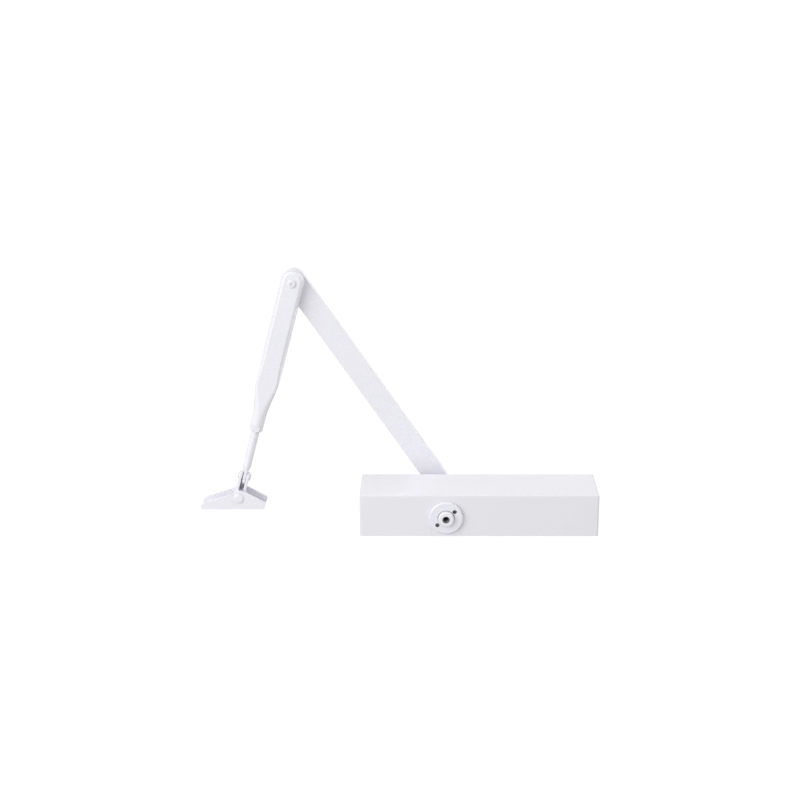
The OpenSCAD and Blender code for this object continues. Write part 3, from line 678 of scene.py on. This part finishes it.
def inner_thread(name, z0, z1, root, crest, pitch, mat, like, centre=(SX, SY)):
    """A cut thread inside a tapped hole: one continuous triangular ridge."""
    bm = bmesh.new()
    turns, per = (z1 - z0 - pitch) / pitch, 40
    rows = []
    for i in range(int(turns * per) + 1):
        a = 2 * math.pi * i / per
        z = z0 + pitch * 0.5 + pitch * i / per
        fade = min(1.0, i / 10, (turns * per - i) / 10)
        tip = root - (root - crest) * max(0.02, fade)
        row = []
        for rad, dz in ((root + 0.05, -0.42 * pitch), (tip, -0.07 * pitch), (tip, 0.07 * pitch), (root + 0.05, 0.42 * pitch)):
            row.append(bm.verts.new((centre[0] + rad * math.cos(a), centre[1] + rad * math.sin(a), z + dz)))
        rows.append(row)
    for a, b in zip(rows, rows[1:]):
        for i in range(4):
            bm.faces.new((a[i], b[i], b[(i + 1) % 4], a[(i + 1) % 4]))
    bm.faces.new(rows[0])
    bm.faces.new(rows[-1][::-1])
    bm.transform(Matrix.Scale(MM, 4))
    return detail(link(bm, name, mat, 40), like)


# the thread in the shaft's tapped hole takes the dark steel as painted shade
inner_thread("shaft_thread_low", -36.6, -19.0, 3.4, 2.95, 1.25, "hole_shade", "pinion_shaft")
stand_for(main_arm(), "main_arm")
stand_for(forearm(), "forearm")


# ------------------------------------------------------------------ studio
def floor():
    """A plain pale floor, far enough under the part to stay out of the upward view."""
    bm = bmesh.new()
    n, half = 24, 40.0
    grid = [[bm.verts.new((half * (2 * i / n - 1), half * (2 * j / n - 1), -2.25)) for j in range(n + 1)]
            for i in range(n + 1)]
    for i in range(n):
        for j in range(n):
            bm.faces.new((grid[i][j], grid[i + 1][j], grid[i + 1][j + 1], grid[i][j + 1]))
    me = bpy.data.meshes.new("studio_floor")
    bm.to_mesh(me)
    bm.free()
    g = Graph("studio_floor_paper")
    g.set(Metallic=0.0, IOR=1.4)
    g.colour(g.mix(g.ramp(g.noise(0.7, 3, 0.6), 0.3, 0.7, 0, 1), (0.86, 0.86, 0.865), (0.88, 0.88, 0.885)))
    g.rough(g.ramp(g.noise(6, 3, 0.6), 0.3, 0.7, 0.75, 0.9))
    me.materials.append(g.mat)
    ob = bpy.data.objects.new("studio_floor", me)
    scene.collection.objects.link(ob)


def softbox(name, place, target, size, watts, colour=(1, 1, 1)):
    light = bpy.data.lights.new(name, "AREA")
    light.shape, light.size, light.size_y = "RECTANGLE", size[0], size[1]
    light.energy, light.color = watts, colour
    ob = bpy.data.objects.new(name, light)
    scene.collection.objects.link(ob)
    ob.location = place
    ob.rotation_euler = (Vector(target) - Vector(place)).to_track_quat("-Z", "Y").to_euler()
    ob.visible_camera = False
    return ob


def world():
    w = bpy.data.worlds.new("studio")
    w.use_nodes = True
    t = w.node_tree
    bg = t.nodes["Background"] if "Background" in t.nodes else t.nodes.new("ShaderNodeBackground")
    n, l = t.nodes, t.links
    # a lit white backdrop where the camera looks, and a dimmer studio all round it
    coord = n.new("ShaderNodeTexCoord").outputs["Generated"]

    def along(direction, lo, hi, to_lo, to_hi, interpolation="SMOOTHSTEP"):
        dot = n.new("ShaderNodeVectorMath")
        dot.operation = "DOT_PRODUCT"
        dot.inputs[1].default_value = Vector(direction).normalized()
        l.new(coord, dot.inputs[0])
        m = n.new("ShaderNodeMapRange")
        m.interpolation_type = interpolation
        for k, v in (("From Min", lo), ("From Max", hi), ("To Min", to_lo), ("To Max", to_hi)):
            m.inputs[k].default_value = v
        l.new(dot.outputs["Value"], m.inputs["Value"])
        return m.outputs["Result"]

    def times(a, b):
        m = n.new("ShaderNodeMath")
        m.operation = "MULTIPLY"
        l.new(a, m.inputs[0])
        l.new(b, m.inputs[1])
        return m

    side = along((0.5, -0.87, 0.0), -1.0, 1.0, SIDE[0], SIDE[1], "LINEAR")
    up = along((0.0, 0.0, 1.0), -0.05, 0.7, 1.0, UP, "LINEAR")
    down = along((0.0, 0.0, 1.0), -1.0, -0.05, DOWN, 1.0, "LINEAR")
    room = times(times(side, up).outputs[0], down)
    cone = along(BACKDROP, 0.83, 0.90, 0.0, 1.0)
    level = n.new("ShaderNodeMix")
    level.data_type = "FLOAT"
    fac, va, vb = level.inputs[0], level.inputs[2], level.inputs[3]
    l.new(cone, fac)
    l.new(room.outputs[0], va)
    vb.default_value = 1.04
    l.new(level.outputs[0], bg.inputs["Strength"])
    bg.inputs["Color"].default_value = (1.0, 1.0, 1.0, 1.0)
    scene.world = w


BACKDROP = tuple(-v for v in scene.camera.matrix_world.col[2][:3])
SIDE, UP, DOWN = (0.26, 1.72), 0.50, 0.62
floor()
world()
softbox("key", (-1.45, -0.80, -1.15), (-0.08, -0.12, 0.0), (1.5, 1.5), 23.0)
softbox("fill", (1.50, -0.95, 0.08), (-0.08, -0.10, 0.0), (0.9, 0.9), 4.2)
